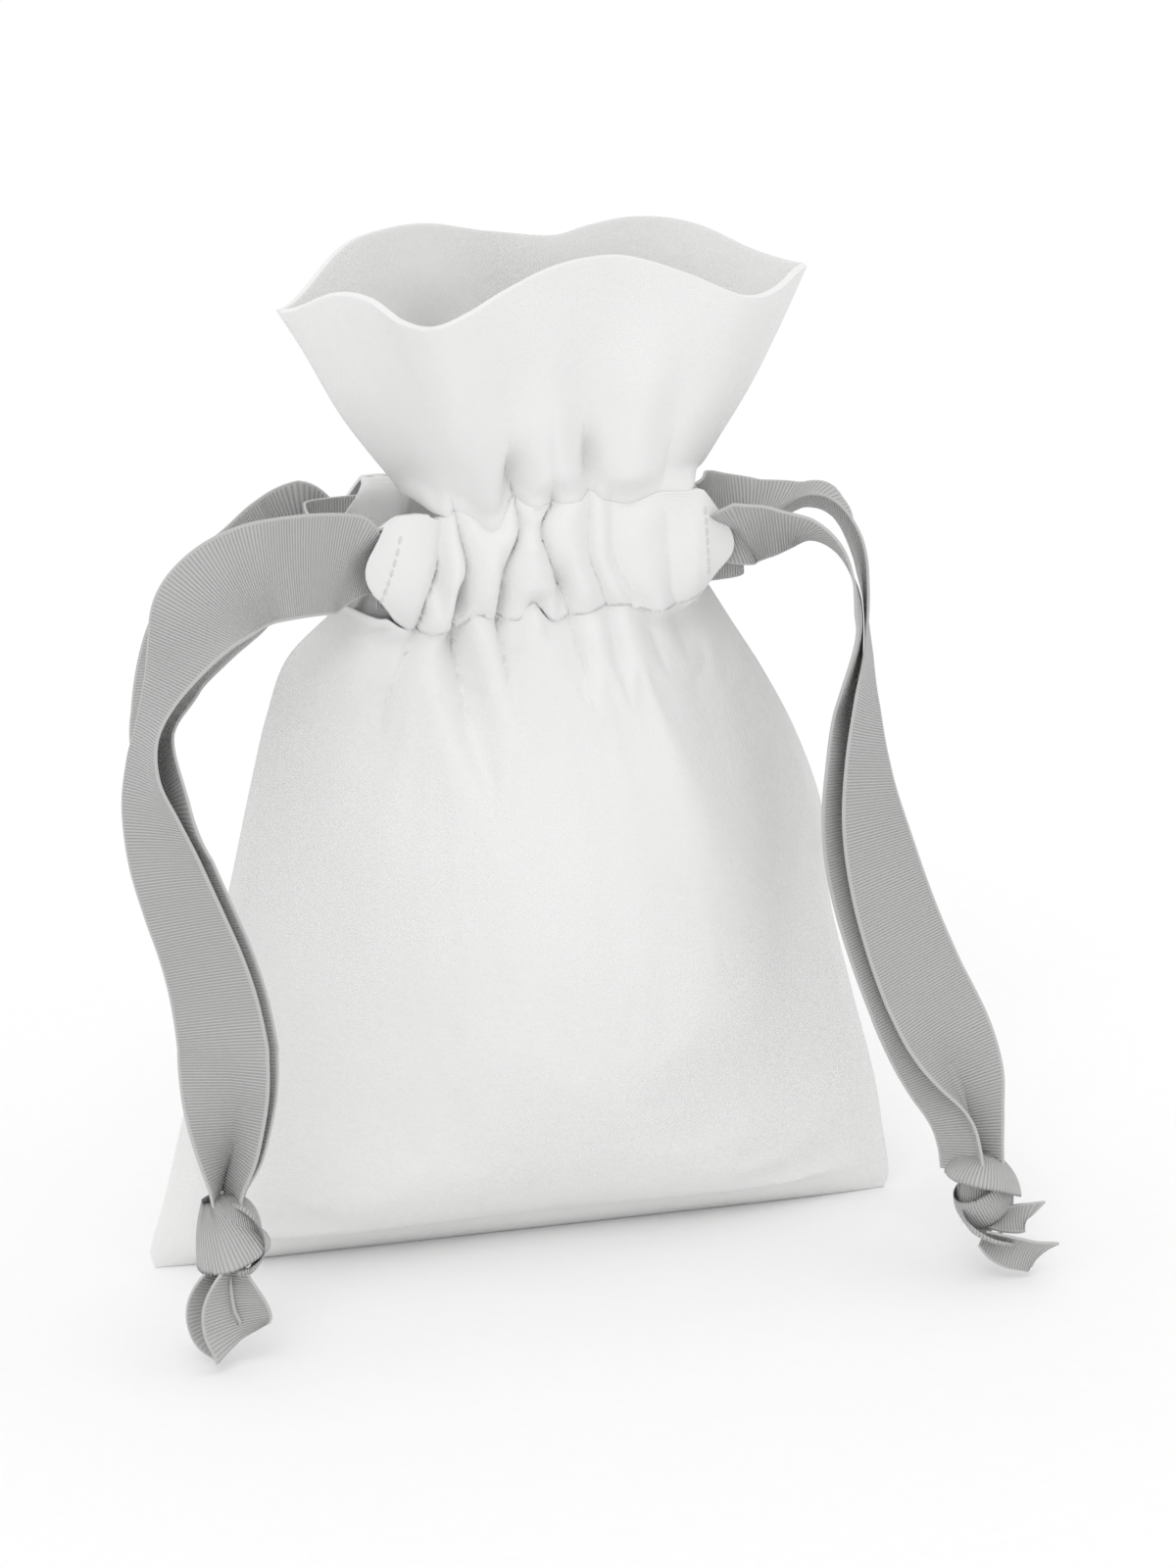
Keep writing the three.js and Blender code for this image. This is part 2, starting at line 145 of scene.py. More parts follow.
# Points of the rim from the left side seam to the right one.
FRONT_RIM = (
    (-44.1, -0.9, 174.5), (-37.9, -8.0, 179.0), (-32.9, -15.0, 179.2), (-28.2, -20.0, 176.1),
    (-22.7, -22.0, 175.1), (-15.4, -21.0, 177.0), (-7.5, -18.0, 179.8), (0.4, -15.0, 182.3),
    (7.9, -13.5, 183.3), (15.1, -13.0, 183.0), (25.2, -14.5, 179.6), (35.9, -14.5, 174.7),
    (44.5, -8.0, 173.6), (52.1, -0.9, 175.9),
)
BACK_RIM = (
    (-44.1, 0.9, 174.5), (-38.5, 4.0, 178.4), (-29.5, 10.5, 182.9), (-21.1, 15.0, 183.9),
    (-11.6, 17.0, 183.9), (-0.6, 18.0, 181.5), (10.5, 18.6, 179.9), (17.2, 17.0, 181.5),
    (24.1, 16.0, 182.6), (31.4, 16.0, 182.1), (38.4, 14.5, 180.4), (45.6, 9.0, 177.4),
    (52.1, 0.9, 175.9),
)
# Side edges of the frill from the casing up to the rim: x, z.
FRILL_LEFT = ((-22.4, 140.2), (-24.0, 142.8), (-28.2, 148.3), (-33.4, 155.8), (-39.4, 166.8), (-44.1, 174.5))
FRILL_RIGHT = ((31.6, 140.2), (33.4, 142.0), (36.5, 146.7), (41.9, 155.2), (47.3, 165.6), (52.1, 175.9))


# ---------------------------------------------------------------- number helpers

def mix(a, b, t):
    return a + (b - a) * t


def ease(t):
    t = max(0.0, min(1.0, t))
    return t * t * (3 - 2 * t)


def bump_at(x, centre, width):
    return math.exp(-(((x - centre) / width) ** 2))


def bumps(x, rows):
    """The sum of bumps, each given as its middle, width and height."""
    return sum(height * bump_at(x, middle, width) for middle, width, height in rows)


def between(heights, values, at):
    """A smooth value at a height, from values at sorted heights (either way round)."""
    rows = sorted(zip(heights, values))
    at = max(rows[0][0], min(rows[-1][0], at))
    last = len(rows) - 1
    i = next((k for k in range(last) if at <= rows[k + 1][0]), last - 1)

    def slope(k):
        low, high = rows[max(0, k - 1)], rows[min(last, k + 1)]
        return (high[1] - low[1]) / (high[0] - low[0])

    span = rows[i + 1][0] - rows[i][0]
    t = (at - rows[i][0]) / span
    bend = slope(i) * span * t * (1 - t) ** 2 + slope(i + 1) * span * t * t * (t - 1)
    return mix(rows[i][1], rows[i + 1][1], t * t * (3 - 2 * t)) + bend


def along_points(points, t):
    """The point at a share t of the way along a smooth line through the points."""
    place = t * (len(points) - 1)
    i = min(int(place), len(points) - 2)
    a, b = Vector(points[i]), Vector(points[i + 1])
    before = Vector(points[i - 1]) if i else a * 2 - b
    after = Vector(points[i + 2]) if i + 2 < len(points) else b * 2 - a
    f = place - i
    straight = (b - before) * 0.5
    ahead = (after - a) * 0.5
    h = f * f * (3 - 2 * f)
    return a.lerp(b, h) + straight * (f * (1 - f) ** 2) + ahead * (f * f * (f - 1))


# ---------------------------------------------------------------- materials

class Socket:
    """One value in a material, with the usual arithmetic."""

    def __init__(self, tree, output):
        self.tree = tree
        self.output = output

    def node(self, kind, settings=None, **inputs):
        made = self.tree.nodes.new(kind)
        for name, value in (settings or {}).items():
            setattr(made, name, value)
        for name, value in inputs.items():
            target = made.inputs[int(name[1:])] if name[1:].isdigit() else made.inputs[name.replace("_", " ")]
            if isinstance(value, Socket):
                self.tree.links.new(value.output, target)
            else:
                target.default_value = value
        return made

    def maths(self, operation, *values):
        inputs = {f"_{i}": value for i, value in enumerate(values)}
        made = self.node("ShaderNodeMath", {"operation": operation}, **inputs)
        return Socket(self.tree, made.outputs[0])

    def __add__(self, other):
        return self.maths("ADD", self, other)

    def __radd__(self, other):
        return self.maths("ADD", other, self)

    def __sub__(self, other):
        return self.maths("SUBTRACT", self, other)

    def __rsub__(self, other):
        return self.maths("SUBTRACT", other, self)

    def __mul__(self, other):
        return self.maths("MULTIPLY", self, other)

    def __rmul__(self, other):
        return self.maths("MULTIPLY", other, self)

    def sine(self):
        return self.maths("SINE", self)

    def absolute(self):
        return self.maths("ABSOLUTE", self)

    def above(self, low, high):
        """0 below low, 1 above high, smooth between."""
        made = self.node(
            "ShaderNodeMapRange", {"interpolation_type": "SMOOTHSTEP"},
            Value=self, From_Min=low, From_Max=high, To_Min=0.0, To_Max=1.0)
        return Socket(self.tree, made.outputs[0])


def new_material(name, roughness, sheen):
    """An empty material, its shader node, and a start for its maths."""
    material = bpy.data.materials.new(name)
    material.use_nodes = True
    tree = material.node_tree
    shader = tree.nodes["Principled BSDF"]
    shader.inputs["Roughness"].default_value = roughness
    shader.inputs["Sheen Weight"].default_value = sheen
    shader.inputs["Sheen Roughness"].default_value = 0.5
    shader.inputs["Specular IOR Level"].default_value = 0.3
    return material, shader, Socket(tree, None)


def cloth_place(start):
    """Across and along the flat cloth, in millimetres, from the piece's own attribute."""
    attribute = start.node("ShaderNodeAttribute", {"attribute_name": "cloth"})
    split = start.node("ShaderNodeSeparateXYZ", _0=Socket(start.tree, attribute.outputs["Vector"]))
    return Socket(start.tree, split.outputs[0]), Socket(start.tree, split.outputs[1])


def object_noise(start, scale, detail):
    """Soft noise fixed to the piece."""
    place = start.node("ShaderNodeTexCoord")
    made = start.node(
        "ShaderNodeTexNoise", Vector=Socket(start.tree, place.outputs["Object"]), Scale=scale, Detail=detail)
    return Socket(start.tree, made.outputs["Fac"])


def finish_material(start, shader, low, high, amount, height, distance):
    """Links a colour between low and high by amount, and a relief of the given height in metres."""
    tree = start.tree
    mixed = start.node("ShaderNodeMix", {"data_type": "RGBA"}, Factor=amount)
    mixed.inputs[6].default_value = (*low, 1)
    mixed.inputs[7].default_value = (*high, 1)
    tree.links.new(mixed.outputs[2], shader.inputs["Base Color"])
    relief = start.node("ShaderNodeBump", Height=height, Strength=1.0, Distance=distance)
    tree.links.new(relief.outputs["Normal"], shader.inputs["Normal"])


def cotton_material(name, low, high):
    """Plain-woven cotton: a fine weave, faint slubs and soft mottling."""
    material, shader, start = new_material(name, 0.92, 0.2)
    across, along = cloth_place(start)
    weft = (across * (math.tau / WEAVE_PITCH)).sine()
    warp = (along * (math.tau / WEAVE_PITCH)).sine()
    weave = weft * warp
    slub = object_noise(start, 900.0, 2.0)
    soft = object_noise(start, 45.0, 3.0)
    amount = soft * 0.7 + slub * 0.3 + weave * 0.06
    height = weave * 0.35 + slub * 1.2 + soft * 3.0
    finish_material(start, shader, low, high, amount, height, 0.00006)
    rough = soft * 0.08 + 0.86
    start.tree.links.new(rough.output, shader.inputs["Roughness"])
    return material


def grosgrain_material(name, low, high):
    """Ribbed ribbon: round cross ribs with a thin plain selvedge at both edges, and painted shade that
    darkens the colour in the valleys between the ribs.
    """
    material, shader, start = new_material(name, 0.55, 0.1)
    across, along = cloth_place(start)
    wander = object_noise(start, 60.0, 2.0)
    ribs = (along * (math.pi / RIB_PITCH) + wander * 0.6).sine().absolute()
    edge = across.absolute().above(RIBBON_WIDTH / 2 - SELVEDGE - 0.25, RIBBON_WIDTH / 2 - SELVEDGE)
    inside = 1.0 - edge
    yarn = object_noise(start, 1500.0, 1.0)
    # Painted shade: the colour is darker in the valleys between the ribs and lighter on their crests. The
    # selvedge tone and the yarn and wander noise are the ribbon's own colour.
    amount = ribs * inside * 0.62 + edge * 0.5 + yarn * 0.14 + wander * 0.14
    height = ribs * inside * 2.2 + edge * 1.5 + yarn * 0.3
    finish_material(start, shader, low, high, amount, height, 0.00009)
    rough = ribs * -0.12 + wander * 0.1 + 0.6
    start.tree.links.new(rough.output, shader.inputs["Roughness"])
    return material


def thread_material(name, low, high):
    """Twisted sewing thread."""
    material, shader, start = new_material(name, 0.7, 0.1)
    twist = object_noise(start, 2500.0, 1.0)
    finish_material(start, shader, low, high, twist, twist, 0.00004)
    return material


def floor_material():
    """Matt white paper with a barely visible grain."""
    material, shader, start = new_material("studio_paper", 0.95, 0.0)
    shader.inputs["Specular IOR Level"].default_value = 0.0
    grain = object_noise(start, 300.0, 2.0)
    finish_material(start, shader, (0.93, 0.93, 0.93), (0.95, 0.95, 0.95), grain, grain, 0.00001)
    return material


# ---------------------------------------------------------------- mesh helpers

def grid(columns, rows, place):
    """A divided plane whose points are carried by place(u, v, x, y), u and v from 0 to 1.

    place gives the point in millimetres and its place on the flat cloth.
    """
    bm = bmesh.new()
    flat = bm.verts.layers.float_vector.new("cloth")
    bmesh.ops.create_grid(bm, x_segments=columns, y_segments=rows, size=0.5)
    for vert in bm.verts:
        point, cloth = place(vert.co.x + 0.5, vert.co.y + 0.5)
        vert[flat] = Vector((cloth[0], cloth[1], 0.0))
        vert.co = Vector(point) * MM
    return bm


def face_outwards(bm, centre):
    """Turns an open sheet so that most of its faces look away from centre, in millimetres."""
    bm.normal_update()
    middle = Vector(centre) * MM
    facing = 0.0
    for face in bm.faces:
        facing += (face.calc_center_median() - middle).dot(face.normal) * face.calc_area()
    if facing < 0:
        bmesh.ops.reverse_faces(bm, faces=bm.faces[:])


def thicken(piece, thickness):
    """Gives a sheet a thickness inwards, away from the way that its faces look."""
    layer = piece.modifiers.new("thickness", "SOLIDIFY")
    layer.thickness = thickness * MM
    layer.offset = -1.0
    edge = piece.modifiers.new("edge", "BEVEL")
    edge.width = thickness * MM * 0.3
    edge.segments = 2
    edge.limit_method = "ANGLE"
    edge.angle_limit = math.radians(65)
    apply_modifiers(piece)


def apply_modifiers(piece):
    """Leaves the piece as the plain mesh that its modifiers make."""
    bpy.context.view_layer.update()
    evaluated = piece.evaluated_get(bpy.context.evaluated_depsgraph_get())
    mesh = bpy.data.meshes.new_from_object(evaluated)
    piece.modifiers.clear()
    old = piece.data
    piece.data = mesh
    bpy.data.meshes.remove(old)
    for face in mesh.polygons:
        face.use_smooth = True


def finished(bm, name, material):
    """The finished piece as an object at the origin."""
    for face in bm.faces:
        face.smooth = True
    mesh = bpy.data.meshes.new(name)
    bm.to_mesh(mesh)
    bm.free()
    mesh.materials.append(material)
    piece = bpy.data.objects.new(name, mesh)
    bpy.context.scene.collection.objects.link(piece)
    return piece


# ---------------------------------------------------------------- shape of the cloth

def mirrored(side, x):
    """The back's gathers are the front's, turned round the middle."""
    return x if side == FRONT else 2 * MIDDLE_X - x


def gathers(lines, heights, x, z, ends):
    """Which ridge a place is on, the share of the way over it, and the ridge's width."""
    edges = [ends[0], *(between(heights, line[:len(heights)], z) for line in lines), ends[1]]
    i = next((k for k in range(len(edges) - 1) if x <= edges[k + 1]), len(edges) - 2)
    width = max(0.5, edges[i + 1] - edges[i])
    t = max(0.0, min(1.0, (x - edges[i]) / width))
    return i, t, width


def ridge_height(x, z, ends):
    """How far the gathers stand out at a place on the casing or the body."""
    i, t, width = gathers(VALLEYS, VALLEY_HEIGHTS, x, z, ends)
    depths = [0.0, *(line[-1] for line in VALLEYS), 0.0]
    depth = mix(depths[i], depths[i + 1], t)
    if i == 0:
        return 4.0 * math.sin(math.pi * (0.3 + 0.7 * t)) ** 0.6
    if i == len(VALLEYS):
        return 1.8 * ease(t * 2.2)
    arch = math.sin(math.pi * t) ** mix(1.2, 0.55, depth)
    pocket = 0.0
    for middle, wide, level, reach, deep in CASING_POCKETS:
        pocket += deep * bump_at(x, middle, wide) * bump_at(z, level, reach)
    return 5.2 * arch * depth * min(1.0, width / 5.5) - pocket


def notch(x, z):
    """The dips where a row of stitches pinches the middle of a ridge."""
    depth = 0.0
    for middle, width, deep, start, reach in UPPER_NOTCHES:
        depth += deep * bump_at(x, middle, width) * ease((z - start) / reach)
    for middle, width, deep, start, reach in LOWER_NOTCHES:
        depth += deep * bump_at(x, middle, width) * ease((start - z) / reach)
    return depth


def casing_low(x):
    """Height of the casing's lower row of stitches, which arches over the body's ridges."""
    low = CASING_LOW - 0.9 * math.cos(x * 0.31) + bumps(x, LOWER_ROW_ARCHES)
    return low + 2.6 * ease((-24.0 - x) / 7.0) + 3.6 * ease((x - 26.0) / 8.0)


def casing_high(x):
    """Height of the upper row of stitches, which dips under the frill's folds."""
    high = CASING_HIGH + bumps(x, UPPER_ROW_ARCHES)
    return high - 3.0 * ease((-26.0 - x) / 6.0) - 3.4 * ease((x - 28.5) / 6.5)


def wrinkle(x, y, z, size, height):
    """A soft, fixed unevenness, about size across."""
    return height * noise.noise(Vector((x / size, y / size, z / size)))


def body_folds(x, z):
    """How far the long soft folds stand out from the body."""
    stand = 0.0
    for heights, across, width, height, fade, reach in BODY_FOLDS:
        stand += height * bump_at(x, between(heights, across, z), width) * ease((z - fade) / reach)
    return stand


def body_point(side, u, v):
    """A point of the body's outer face, u from left to right and v from the bottom seam up."""
    s = 2 * u - 1
    highest = mix(125.0, 121.4, ease((abs(s) - 0.55) / 0.3))
    top = min(casing_low(mirrored(side, mix(-33.0, 33.0, u))) + 0.5, highest)
    z = mix(v * BODY_TOP, v * top, ease((v - 0.75) / 0.25))
    at = min(z, BODY_TOP)
    left = between(BODY_HEIGHTS, BODY_LEFT, at)
    right = between(BODY_HEIGHTS, BODY_RIGHT, at)
    depth = between(BODY_HEIGHTS, BODY_DEPTH, at)
    x = mix(left, right, u)
    power = 2.3 + 5.0 * max(0.0, 1 - z / 34.0) ** 2
    y = 0.25 + depth * (1 - abs(s) ** power)
    there = mirrored(side, x)
    gathered = ease((z - 90.0) / 29.5)
    stand = ridge_height(there, z, (-47.0, 44.0)) * gathered ** 1.6 + body_folds(there, z)
    stand += wrinkle(x, side * 40, z, 34.0, 1.7) + wrinkle(x, side * 90, z, 13.0, 0.35)
    y += stand * (1 - abs(s) ** 6) * ease(z / 16.0)
    seam_y = abs(casing_point(side, x, 0.0)[1]) - 0.25
    seamed = ease((v - 0.965) / 0.035) * (1 - ease((abs(s) - 0.84) / 0.14))
    return x, side * mix(y, seam_y, seamed), z


def casing_base(x):
    """Half depth of the neck at the casing's valleys."""
    s = (x - MIDDLE_X) / 33.0
    return 13.4 - 1.4 * abs(s) ** 3


def casing_point(side, x, w):
    """A point of the casing's outer layer, w from 0 at the lower stitches to 1 at the upper ones."""
    there = mirrored(side, x)
    z = mix(casing_low(there), casing_high(there), w)
    round_edge = 1 - abs(2 * w - 1) ** 3.2
    stand = ridge_height(there, z, CASING_ENDS) - notch(there, z) * round_edge ** 0.3
    stand = stand * mix(0.72, 1.0, round_edge) + 0.9 * round_edge - 0.7
    stand += wrinkle(x, side * 30, z, 7.0, 0.5) * (1 - ease((abs(x - MIDDLE_X) - 22.0) / 5.0))
    return x, side * (casing_base(there) + stand), z


def frill_base(side, u, v):
    """A point of the frill's middle, u from the left side seam to the right one and v up to the rim."""
    rim = along_points(FRONT_RIM if side == FRONT else BACK_RIM, u)
    left = along_points([(x, 0.0, z) for x, z in FRILL_LEFT], v)
    right = along_points([(x, 0.0, z) for x, z in FRILL_RIGHT], v)
    s = 2 * u - 1
    neck_x = mix(FRILL_LEFT[0][0], FRILL_RIGHT[0][0], u)
    neck_y = side * (0.8 + 10.6 * (1 - abs(s) ** 4))
    middle_x = mix(neck_x, rim.x, v ** 0.92)
    edge_x = mix(left.x, right.x, u)
    x = mix(middle_x, edge_x, abs(s) ** 5)
    low = casing_high(mirrored(side, x)) - 0.5
    low = mix(low, 139.8, abs(s) ** 8)
    y = mix(neck_y, rim.y, v ** 0.85)
    z = mix(low, rim.z, v)
    edge_z = mix(left.z, right.z, u)
    z = mix(z, edge_z, abs(s) ** 14)
    return Vector((x, y, z))


def frill_shoulder(i, t):
    """The outermost folds, which run on smoothly to the side seams."""
    away = t if i else 1 - t
    return math.sin(math.pi * 0.5 * min(1.0, away * 2.2)) * (1 - ease((away - 0.45) / 0.5) * 0.4)


def frill_point(side, u, v):
    """A point of the frill's outer face, with its folds."""
    x, y, z = frill_base(side, u, v)
    there = mirrored(side, x)
    i, t, _ = gathers(FRILL_VALLEYS, FRILL_HEIGHTS, there, z, (-48.0, 56.0))
    crisp = math.sin(math.pi * t) ** 0.6
    soft = 0.5 - 0.5 * math.cos(math.tau * t)
    if 0 < i < len(FRILL_VALLEYS):
        arch = mix(crisp, soft, ease(v / 0.4))
    else:
        arch = 0.5 * frill_shoulder(i, t)
    strength = mix(5.2, 0.6, ease(v / 0.85)) * mix(0.45, 1.0, ease(v / 0.14))
    inside = 1 - abs(2 * u - 1) ** 5
    crease_x = between((141, 155, 175), (1.6, 0.4, -0.5), z)
    crease = 1.5 * bump_at(there, crease_x, 1.2) * (1 - ease(v / 0.55))
    stand = (strength * arch - crease) * inside
    stand += wrinkle(x, side * 60, z, 16.0, 1.1) * inside * ease(v * 2)
    seam_y = casing_point(side, x, 1.0)[1] - side * 0.3
    seamed = (1 - ease(v / 0.13)) * (1 - ease((abs(2 * u - 1) - 0.8) / 0.18))
    pocket = bumps(there, FRILL_POCKETS) * bump_at(v, 0.15, 0.11) * inside
    return x, mix(y + side * stand, seam_y, seamed) - side * pocket, z


# ---------------------------------------------------------------- cloth pieces

SETTLE_STEPS = 20


def settle(piece, held, growth, cap):
    """Lets a sheet of cloth that is cut a little large settle between its held points.

    held says if a point in millimetres is sewn or gathered; no point moves further than cap millimetres.
    """
    before = [vert.co.copy() for vert in piece.data.vertices]
    group = piece.vertex_groups.new(name="held")
    fixed = [i for i, point in enumerate(before) if held(point / MM)]
    group.add(fixed, 1.0, "REPLACE")
    cloth = piece.modifiers.new("settle", "CLOTH")
    cloth.settings.vertex_group_mass = group.name
    cloth.settings.quality = 5
    cloth.settings.mass = 0.15
    cloth.settings.bending_stiffness = 10.0
    cloth.settings.shrink_min = -growth
    cloth.settings.effector_weights.gravity = 0.05
    for step in range(SETTLE_STEPS):
        bpy.context.scene.frame_set(step + 1)
    evaluated = piece.evaluated_get(bpy.context.evaluated_depsgraph_get())
    after = [vert.co.copy() for vert in evaluated.data.vertices]
    piece.modifiers.clear()
    piece.vertex_groups.clear()
    for vert, old, new in zip(piece.data.vertices, before, after):
        move = new - old
        vert.co = old + move * (cap * MM / (cap * MM + move.length))
    bpy.context.scene.frame_set(1)


def panel(side, name, material):
    """Front or back of the body, sewn to the other at its sides and its bottom."""
    wide, tall = PANEL_FLAT
    bm = grid(150, 130, lambda u, v: (body_point(side, u, v), (wide * u, tall * v)))
    face_outwards(bm, (0, 0, 60))
    piece = finished(bm, name, material)
    settle(piece, lambda at: at.z < 6.0 or at.z > 110.0 or abs(at.y) < 3.5, 0.004, 2.5)
    thicken(piece, COTTON)
    return piece


def casing(side, name, material):
    """The tunnel for the ribbons: a flattened tube of one layer, open at both ends."""
    wide, tall = CASING_WEAVE

    def place(u, v):
        w = min(2 * v, 2 - 2 * v)
        x = mix(*CASING_ENDS, u)
        x += 4.6 * (2 * w - 1.1) ** 2 * ease((0.3 - u) / 0.3)
        x -= 5.4 * (2 * w - 1) ** 2 * ease((u - 0.76) / 0.24)
        x = 2 * MIDDLE_X - x if side == BACK else x
        outer = casing_point(side, x, w)
        cloth = (wide * u, tall * v)
        if v < 0.5:
            return outer, cloth
        cut = ease((abs(x - MIDDLE_X) - 25.0) / 6.0)
        inward = 6.4 * (1 - abs(2 * w - 1) ** 6) ** 0.5 * mix(1.0, 0.75, cut)
        return (x, outer[1] - side * inward, outer[2]), cloth

    bm = grid(220, 72, place)
    bmesh.ops.remove_doubles(bm, verts=bm.verts[:], dist=0.02 * MM)
    face_outwards(bm, (MIDDLE_X, side * 10.0, 130))
    piece = finished(bm, name, material)
    thicken(piece, COTTON)
    return piece


def frill(side, name, material):
    """The double layer above the casing, folded over at its rim."""
    wide, tall = FRILL_WEAVE
    bm = grid(180, 60, lambda u, v: (frill_point(side, u, v), (wide * u, tall * v)))
    face_outwards(bm, (MIDDLE_X, 0, 150))
    piece = finished(bm, name, material)
    thicken(piece, HEM)
    return piece


# ---------------------------------------------------------------- stitches

def stitches(name, points, material, length=2.2, radius=0.3):
    """A row of short stitches centred on the points, each lying along the row."""
    bm = bmesh.new()
    flat = bm.verts.layers.float_vector.new("cloth")
    places = [Vector(point) for point in points]
    for i, middle in enumerate(places):
        ahead = places[min(len(places) - 1, i + 1)] - places[max(0, i - 1)]
        turn = Vector((0, 0, 1)).rotation_difference(ahead.normalized()).to_matrix().to_4x4()
        size = Matrix.Diagonal((radius * MM, radius * MM, length * MM / 2, 1.0))
        matrix = Matrix.Translation(middle * MM) @ turn @ size
        made = bmesh.ops.create_uvsphere(bm, u_segments=8, v_segments=8, radius=1.0, matrix=matrix)
        for vert in made["verts"]:
            vert[flat] = vert.co / MM
    return finished(bm, name, material)


# ---------------------------------------------------------------- ribbons

# Each station of a route is x, y, z, a turn in degrees, and how spread the ribbon is, 1 for its full width.
# At a turn of 0 it shows its flat face to the front, at 90 its edge.
LEFT_FRONT = (
    (-27.0, -10.6, 128.5, 0, 0.35), (-31.5, -11.6, 130.4, 0, 0.55), (-36.2, -14.6, 132.6, 2, 1.0),
    (-41.5, -17.6, 133.8, 6, 1.0), (-48, -20.4, 134.4, 10, 1.0), (-54.6, -23, 134.4, 14, 1.0),
    (-60.4, -25.5, 132.8, 22, 1.0), (-65.4, -27.6, 129.2, 42, 1.0), (-69.3, -29, 123.4, 70, 1.0),
    (-72.6, -30, 116.8, 88, 1.0), (-75.1, -31, 110.5, 94, 1.0), (-76.3, -32, 104.0, 86, 1.0),
    (-75.7, -33, 96.5, 70, 1.0), (-73.7, -34.2, 87.7, 57, 1.0), (-70.9, -35.6, 79.0, 51, 1.0),
    (-68.3, -37, 71.3, 48, 1.0), (-66.4, -38.6, 63.5, 45, 1.0), (-65.4, -40.6, 55, 42, 1.0),
    (-65.3, -42.0, 46.6, 36, 0.9), (-65.6, -43.2, 38.5, 28, 0.66), (-66.4, -42.8, 31.6, 12, 0.36),
    (-66.8, -42.6, 27, 4, 0.28),
)
LEFT_BACK_FREE = (
    (-27.0, 10.6, 128.5, 0, 0.35), (-31.5, 11.6, 130.4, 0, 0.55), (-36.2, 13.6, 131.2, 0, 1.0),
    (-41.2, 11.6, 129.4, 8, 1.0), (-46.6, 7, 127.0, 16, 1.0), (-52.5, 1, 125, 28, 1.0),
    (-58.7, -6, 122.2, 44, 1.0), (-64.4, -14, 118.2, 62, 1.0), (-69.6, -21, 112.4, 80, 1.0),
    (-73.0, -26.4, 106, 86, 1.0),
)
RIGHT_BACK = (
    (27.0, 10.6, 131.5, 0, 0.35), (31.5, 11.6, 130.0, -6, 0.5), (36.4, 13.4, 127.8, -22, 0.85),
    (41.5, 13.0, 127.2, -50, 0.95), (46.5, 11.2, 128.2, -76, 1.0), (51.0, 8.0, 129.8, -92, 1.0),
    (54.8, 3.5, 131.0, -95, 1.0), (57.7, -1.5, 129.6, -90, 1.0), (59.5, -6.5, 125.0, -82, 1.0),
    (59.8, -11, 118, -74, 1.0), (59.0, -15.5, 109.5, -66, 1.0), (57.5, -19.5, 100.5, -56, 1.0),
    (56.4, -23.2, 91, -46, 1.0), (56.2, -26.6, 81.5, -36, 1.0), (57.5, -29.6, 72, -29, 1.0),
    (60.2, -32.5, 61.5, -24, 1.0), (63.8, -35.2, 51, -20, 1.0), (67.4, -37.8, 42, -18, 0.96),
    (69.8, -40.2, 35, -20, 0.78), (71.0, -42.2, 29, -22, 0.46), (71.4, -43.4, 24, -20, 0.32),
    (71.6, -44.0, 19.5, -20, 0.28),
)
RIGHT_FRONT_FREE = (
    (27.0, -10.6, 131.5, 0, 0.35), (31.5, -11.6, 131.2, 10, 0.5), (36.2, -14.5, 132.4, 34, 1.0),
    (41, -16.4, 132.9, 46, 1.0), (46, -18, 132.8, 62, 1.0), (50.4, -19, 130.8, 82, 1.0),
    (53.8, -19.6, 126.4, 98, 1.0), (55.6, -19.8, 120.4, 108, 1.0), (56.2, -20.0, 114.4, 112, 1.0),
)
TOWARDS_FRONT = Vector((0, -1, 0))


def station_frame(along, turn, outwards=TOWARDS_FRONT):
    """The directions across the ribbon and out of its face."""
    across = along.cross(outwards).normalized()
    across = Matrix.Rotation(math.radians(turn), 3, along) @ across
    return across, along.cross(across)


def beside(free, route, start, shift, turned=0):
    """A second ply: its own free stretch, then beside the first ply from a station on.

    It lies shifted across the first ply, and turned over if turned is 180.
    """
    together = []
    for i in range(start, len(route)):
        before = Vector(route[i - 1][:3])
        after = Vector(route[min(i + 1, len(route) - 1)][:3])
        across, face = station_frame((after - before).normalized(), route[i][3])
        place = Vector(route[i][:3]) + face * PLY_GAP + across * shift
        together.append((*place, route[i][3] + turned, route[i][4]))
    return (*free, *together)


LEFT_BACK = beside(LEFT_BACK_FREE, LEFT_FRONT, 12, -0.6)
RIGHT_FRONT = beside(RIGHT_FRONT_FREE, RIGHT_BACK, 11, 1.8, 180)


def stations(route, steps, core=None):
    """Points along a route with their directions, turn and spread, and the length so far in millimetres.

    Round a core, the ribbon's face looks away from it.
    """
    points = [row[:3] for row in route]
    extras = [(row[3], row[4], 0.0) for row in route]
    found = []
    length = 0.0
    for i in range(steps + 1):
        t = i / steps
        middle = along_points(points, t)
        ahead = along_points(points, min(1.0, t + 0.002)) - along_points(points, max(0.0, t - 0.002))
        ahead.normalize()
        turn, spread, _ = along_points(extras, t)
        outwards = TOWARDS_FRONT if core is None else middle - Vector(core)
        across, face = station_frame(ahead, turn, outwards)
        if found:
            length += (middle - found[-1][0]).length
        found.append((middle, across, face, min(1.0, spread), length, ahead))
    return found


